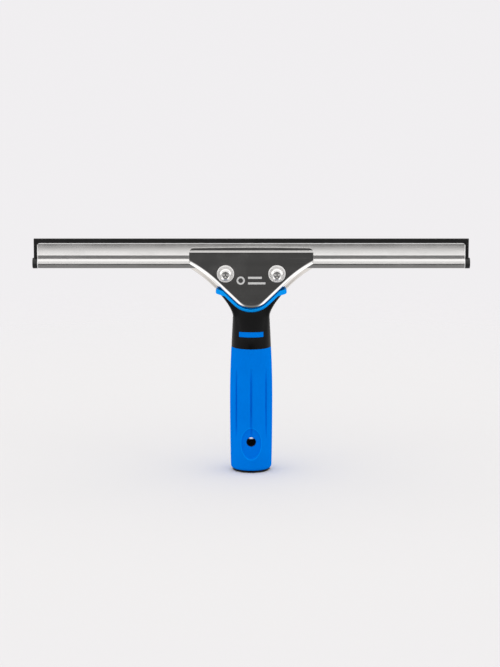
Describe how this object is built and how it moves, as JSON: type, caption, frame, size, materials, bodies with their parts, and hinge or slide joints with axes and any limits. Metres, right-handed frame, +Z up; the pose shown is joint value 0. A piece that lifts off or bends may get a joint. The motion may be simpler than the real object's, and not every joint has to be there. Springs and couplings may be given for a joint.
{
  "type": "window cleaning squeegee",
  "caption": "Hand-held window squeegee: rubber blade in a long steel channel, held by two screwed V-shaped jaws on a blue and black handle with a pole socket and a hang hole.",
  "frame": {"origin": "centre of the handle's foot, on the surface that it stands on, below the middle of the blade", "axes": "+X along the blade, to the viewer's right when the screw heads face the viewer; +Y from the screw heads to the nuts; +Z up the handle to the rubber's edge"},
  "size_m": [0.358, 0.0324, 0.194],
  "materials": {
    "blade_rubber": "smooth black natural rubber with sharp edges",
    "channel_steel": "bright satin stainless steel strip",
    "clip_plastic": "black moulded plastic",
    "jaw_steel": "polished pressed stainless steel",
    "fastener_steel": "bright stainless steel",
    "core_plastic": "black glass-filled nylon",
    "blue_soft_grip": "blue soft-touch elastomer, faintly matt",
    "black_plastic": "black moulded plastic, fine satin texture",
    "blue_soft_lip": "bright blue elastomer"
  },
  "bodies": {
    "handle": {"handle_core": "core_plastic", "grip_sleeve": "blue_soft_grip", "end_cap": "black_plastic", "neck_shell": "black_plastic", "cradle_lip": "blue_soft_lip", "neck_inlay": "blue_soft_lip", "rear_jaw": "jaw_steel", "tongue_rivets": "fastener_steel", "left_nut": "fastener_steel", "right_nut": "fastener_steel", "left_spacer": "fastener_steel", "right_spacer": "fastener_steel"},
    "front_clamp": {"front_jaw": "jaw_steel", "left_washer": "fastener_steel", "right_washer": "fastener_steel"},
    "left_screw": {"left_screw": "fastener_steel"},
    "right_screw": {"right_screw": "fastener_steel"},
    "channel": {"channel": "channel_steel"},
    "blade": {"rubber_blade": "blade_rubber"},
    "left_clip": {"left_end_clip": "clip_plastic"},
    "right_clip": {"right_end_clip": "clip_plastic"}
  },
  "joints": [
    {"name": "front_clamp_slide", "type": "slide", "parent": "handle", "child": "front_clamp", "axis": [0, -1, 0], "range_m": [0, 0.0016]},
    {"name": "left_screw_turn", "type": "hinge", "parent": "front_clamp", "child": "left_screw", "pos_m": [-0.021, -0.0078, 0.1662], "axis": [0, -1, 0], "range_deg": [0, 720]},
    {"name": "right_screw_turn", "type": "hinge", "parent": "front_clamp", "child": "right_screw", "pos_m": [0.021, -0.0078, 0.1662], "axis": [0, -1, 0], "range_deg": [0, 720]},
    {"name": "channel_slide", "type": "slide", "parent": "handle", "child": "channel", "axis": [1, 0, 0], "range_m": [-0.124, 0.124]},
    {"name": "blade_slide", "type": "slide", "parent": "channel", "child": "blade", "axis": [1, 0, 0], "range_m": [0, 0.36]},
    {"name": "left_clip_pull", "type": "slide", "parent": "channel", "child": "left_clip", "axis": [-1, 0, 0], "range_m": [0, 0.014]},
    {"name": "right_clip_pull", "type": "slide", "parent": "blade", "child": "right_clip", "axis": [1, 0, 0], "range_m": [0, 0.014]}
  ],
  "couplings": [
    {"joint": "left_screw_turn", "follows": "front_clamp_slide", "rad_per_m": 7853.9},
    {"joint": "right_screw_turn", "follows": "front_clamp_slide", "rad_per_m": 7853.9}
  ]
}
